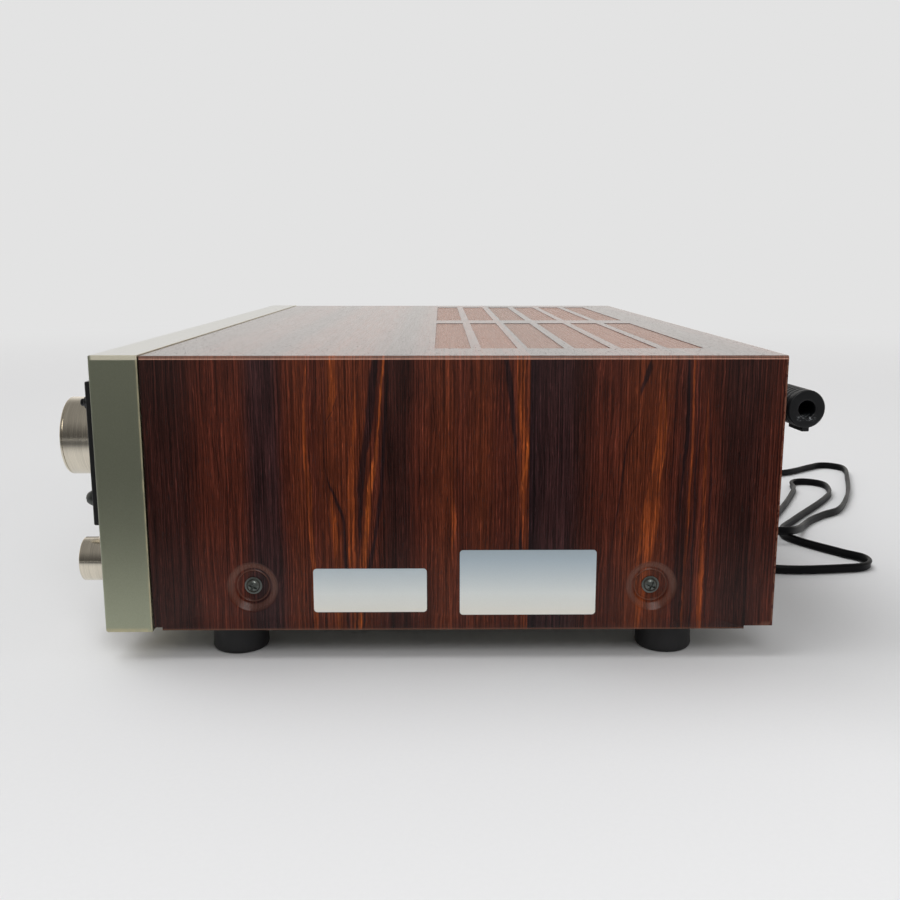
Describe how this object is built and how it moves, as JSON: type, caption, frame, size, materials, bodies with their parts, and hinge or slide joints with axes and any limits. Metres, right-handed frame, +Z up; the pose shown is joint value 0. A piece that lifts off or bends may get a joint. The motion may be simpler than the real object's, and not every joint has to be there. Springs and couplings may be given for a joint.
{
  "type": "stereo receiver",
  "caption": "Tabletop stereo receiver with wood-grain cover, silver front, dial window, turned knobs, swivelling rod antenna and loose mains cord.",
  "frame": {"origin": "centre of the box's footprint without the loose cord, on the surface that the feet stand on", "axes": "+Z up; the front panel faces -Y and the rear panel +Y; +X is to the right for someone who faces the front, and is the pictured side"},
  "size_m": [0.5, 0.5526, 0.1454],
  "materials": {
    "black_plastic": "black moulded",
    "black_plate": "satin black",
    "black_rubber": "matt black",
    "black_screw": "black oxide",
    "board": "brown phenolic board",
    "brass": "turned",
    "capacitor_sleeve": "dark blue sleeve",
    "cord_jacket": "black flexible jacket",
    "dial_glass": "smoked clear",
    "front_aluminium": "silver aluminium, brushed and aged",
    "pointer_red": "red",
    "rear_paint": "matt black paint",
    "rosewood_vinyl": "dark rosewood-grain vinyl laminated on steel, satin",
    "scale_white": "off white",
    "turned_aluminium": "turned aluminium, bright",
    "zinc_steel": "zinc plated"
  },
  "bodies": {
    "cabinet": {"aerial_terminals": "black_plastic", "amplifier_board": "board", "antenna_bracket": "black_plastic", "button_bank": "black_plastic", "chassis_pan": "zinc_steel", "cord_coil": "cord_jacket", "cord_tail": "cord_jacket", "cover_screw_front_left": "black_screw", "cover_screw_front_right": "black_screw", "cover_screw_rear_left": "black_screw", "cover_screw_rear_right": "black_screw", "dial_glass": "dial_glass", "dial_plate": "black_plate", "dial_scale": "scale_white", "foot_front_left": "black_rubber", "foot_front_right": "black_rubber", "foot_rear_left": "black_rubber", "foot_rear_right": "black_rubber", "front_panel": "front_aluminium", "headphone_socket": "zinc_steel", "heat_sink": "front_aluminium", "input_jacks": "black_plastic", "lamp_housing": "scale_white", "main_capacitor_left": "capacitor_sleeve", "main_capacitor_right": "capacitor_sleeve", "mains_cord": "cord_jacket", "mains_outlet": "black_plastic", "mains_plug": "black_rubber", "pointer_rail": "zinc_steel", "power_transformer": "zinc_steel", "rear_panel": "rear_paint", "signal_meter": "scale_white", "source_switch": "black_plastic", "speaker_switch": "black_plastic", "speaker_terminals": "black_plastic", "strain_relief": "black_rubber", "sub_panel": "zinc_steel", "tone_board": "board", "top_cover": "rosewood_vinyl", "tuning_gang": "zinc_steel", "tuning_meter": "scale_white", "volume_control": "zinc_steel"},
    "tuning": {"tuning_knob": "turned_aluminium", "tuning_shaft": "brass"},
    "pointer": {"dial_pointer": "pointer_red"},
    "drum": {"dial_drum": "scale_white"},
    "antenna": {"antenna_rod": "black_plastic"},
    "idler_left": {"idler_left": "scale_white"},
    "idler_right": {"idler_right": "scale_white"},
    "signal_needle": {"signal_needle": "black_plastic"},
    "tuning_needle": {"tuning_needle": "black_plastic"},
    "power_button": {"power_button": "turned_aluminium"},
    "speaker_knob": {"speaker_knob": "turned_aluminium"},
    "bass_knob": {"bass_knob": "turned_aluminium"},
    "treble_knob": {"treble_knob": "turned_aluminium"},
    "balance_knob": {"balance_knob": "turned_aluminium"},
    "volume_knob": {"volume_knob": "turned_aluminium"},
    "source_knob": {"source_knob": "turned_aluminium"},
    "loudness_button": {"loudness_button": "turned_aluminium"},
    "tape_button": {"tape_button": "turned_aluminium"}
  },
  "joints": [
    {"name": "tuning", "type": "hinge", "parent": "cabinet", "child": "tuning", "pos_m": [0.1935, -0.13587, 0.09925], "axis": [0, 1, 0], "range_deg": [-1212, 1212]},
    {"name": "pointer_run", "type": "slide", "parent": "cabinet", "child": "pointer", "axis": [1, 0, 0], "range_m": [-0.11, 0.11]},
    {"name": "drum_turn", "type": "hinge", "parent": "cabinet", "child": "drum", "pos_m": [0.0995, -0.13587, 0.095], "axis": [0, 1, 0], "range_deg": [-261, 261]},
    {"name": "idler_left_turn", "type": "hinge", "parent": "cabinet", "child": "idler_left", "pos_m": [-0.1517, -0.13587, 0.128], "axis": [0, 1, 0], "range_deg": [-1501, 1501]},
    {"name": "idler_right_turn", "type": "hinge", "parent": "cabinet", "child": "idler_right", "pos_m": [0.1577, -0.13587, 0.128], "axis": [0, 1, 0], "range_deg": [-1501, 1501]},
    {"name": "signal_needle_swing", "type": "hinge", "parent": "cabinet", "child": "signal_needle", "pos_m": [-0.2127, -0.15137, 0.08375], "axis": [0, 1, 0], "range_deg": [0, 70]},
    {"name": "tuning_needle_swing", "type": "hinge", "parent": "cabinet", "child": "tuning_needle", "pos_m": [-0.1707, -0.15137, 0.08375], "axis": [0, 1, 0], "range_deg": [-30, 30]},
    {"name": "speaker_knob_turn", "type": "hinge", "parent": "cabinet", "child": "speaker_knob", "pos_m": [-0.15, -0.16337, 0.0397], "axis": [0, 1, 0], "range_deg": [-60, 60]},
    {"name": "bass_knob_turn", "type": "hinge", "parent": "cabinet", "child": "bass_knob", "pos_m": [-0.098, -0.16337, 0.0397], "axis": [0, 1, 0], "range_deg": [-150, 150]},
    {"name": "treble_knob_turn", "type": "hinge", "parent": "cabinet", "child": "treble_knob", "pos_m": [-0.052, -0.16337, 0.0397], "axis": [0, 1, 0], "range_deg": [-150, 150]},
    {"name": "balance_knob_turn", "type": "hinge", "parent": "cabinet", "child": "balance_knob", "pos_m": [-0.006, -0.16337, 0.0397], "axis": [0, 1, 0], "range_deg": [-150, 150]},
    {"name": "volume_knob_turn", "type": "hinge", "parent": "cabinet", "child": "volume_knob", "pos_m": [0.132, -0.16337, 0.0397], "axis": [0, 1, 0], "range_deg": [-150, 150]},
    {"name": "source_knob_turn", "type": "hinge", "parent": "cabinet", "child": "source_knob", "pos_m": [0.2135, -0.16337, 0.0397], "axis": [0, 1, 0], "range_deg": [-75, 75]},
    {"name": "power_press", "type": "slide", "parent": "cabinet", "child": "power_button", "axis": [0, 1, 0], "range_m": [0, 0.005], "stiffness_N_per_m": 150, "springref_m": -0.003},
    {"name": "loudness_button_press", "type": "slide", "parent": "cabinet", "child": "loudness_button", "axis": [0, 1, 0], "range_m": [0, 0.004], "stiffness_N_per_m": 150, "springref_m": -0.003},
    {"name": "tape_button_press", "type": "slide", "parent": "cabinet", "child": "tape_button", "axis": [0, 1, 0], "range_m": [0, 0.004], "stiffness_N_per_m": 150, "springref_m": -0.003},
    {"name": "antenna_swivel", "type": "hinge", "parent": "cabinet", "child": "antenna", "pos_m": [0.03513, 0.16813, 0.113], "axis": [0, 0, 1], "range_deg": [-5, 85]}
  ],
  "couplings": [
    {"joint": "pointer_run", "follows": "tuning", "m_per_rad": 0.0052},
    {"joint": "drum_turn", "follows": "tuning", "ratio": 0.21488},
    {"joint": "idler_left_turn", "follows": "tuning", "ratio": 1.2381},
    {"joint": "idler_right_turn", "follows": "tuning", "ratio": 1.2381}
  ]
}
